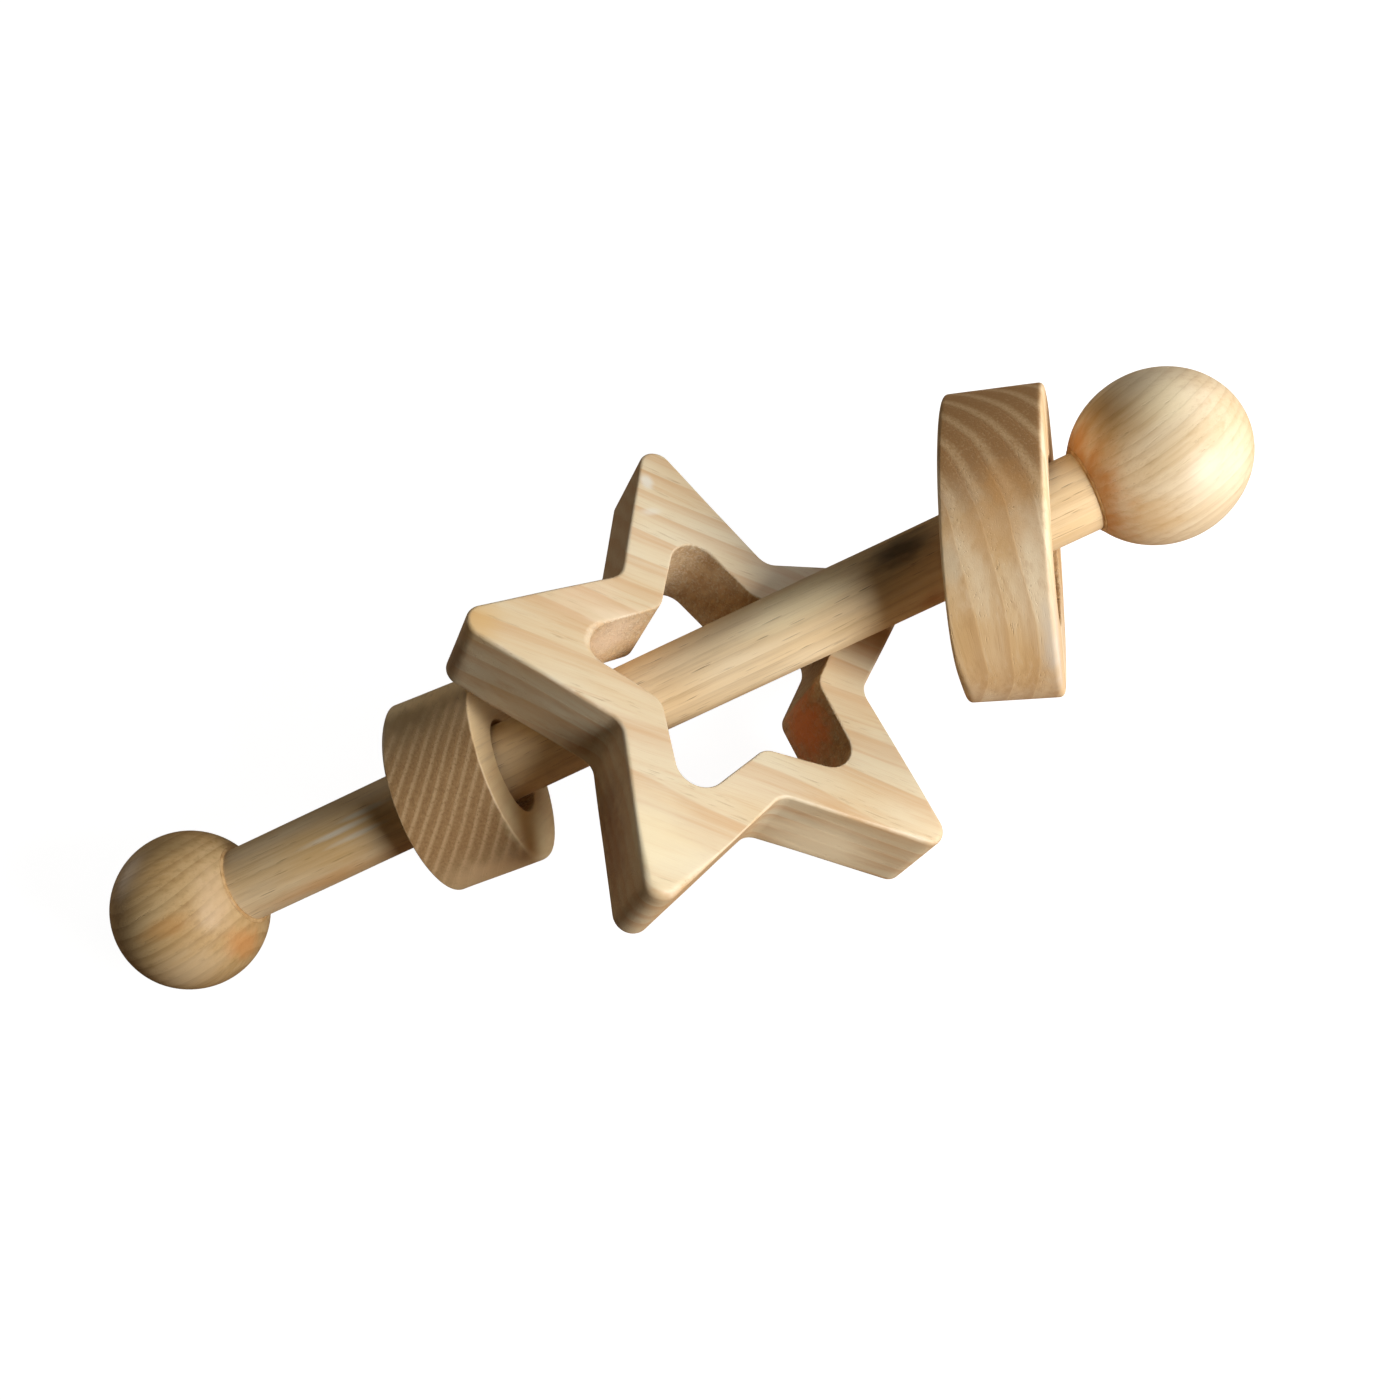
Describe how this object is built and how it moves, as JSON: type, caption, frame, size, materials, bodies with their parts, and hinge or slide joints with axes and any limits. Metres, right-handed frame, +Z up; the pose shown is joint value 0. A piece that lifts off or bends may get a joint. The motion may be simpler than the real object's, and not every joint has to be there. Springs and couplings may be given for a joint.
{
  "type": "star rattle",
  "caption": "Plain wooden rattle: a dowel with a ball glued on each end, and a small ring, an open star and a large ring that hang loose on it.",
  "frame": {"origin": "centre of the bounding box in plan, on the floor that the rattle stands on", "axes": "+Z up, +X along the dowel as seen from above, towards the large ring and the right end ball"},
  "size_m": [0.1852, 0.0738, 0.0515],
  "materials": {
    "dowel_wood": "oiled ash, satin, grain along the dowel",
    "ball_wood": "oiled ash, satin, turned",
    "ring_wood": "oiled ash, satin, with growth rings across",
    "star_wood": "oiled ash, satin, sawn and sanded"
  },
  "bodies": {
    "handle": {"dowel": "dowel_wood", "left_end_ball": "ball_wood", "right_end_ball": "ball_wood"},
    "small_ring": {"small_ring": "ring_wood"},
    "star_ring": {"star_ring": "star_wood"},
    "large_ring": {"large_ring": "ring_wood"}
  },
  "joints": [
    {"name": "small_ring_slide", "type": "slide", "parent": "handle", "child": "small_ring", "axis": [0.9923, 0, 0.1241], "range_m": [-0.0327, 0.0045]},
    {"name": "star_tilt", "type": "hinge", "parent": "handle", "child": "star_ring", "pos_m": [0.00878, -0.00248, 0.02329], "axis": [0.0237, -0.9816, -0.1892], "range_deg": [-100, 0]},
    {"name": "large_ring_slide", "type": "slide", "parent": "handle", "child": "large_ring", "axis": [0.9923, 0, 0.1241], "range_m": [-0.0102, 0.0023]}
  ]
}
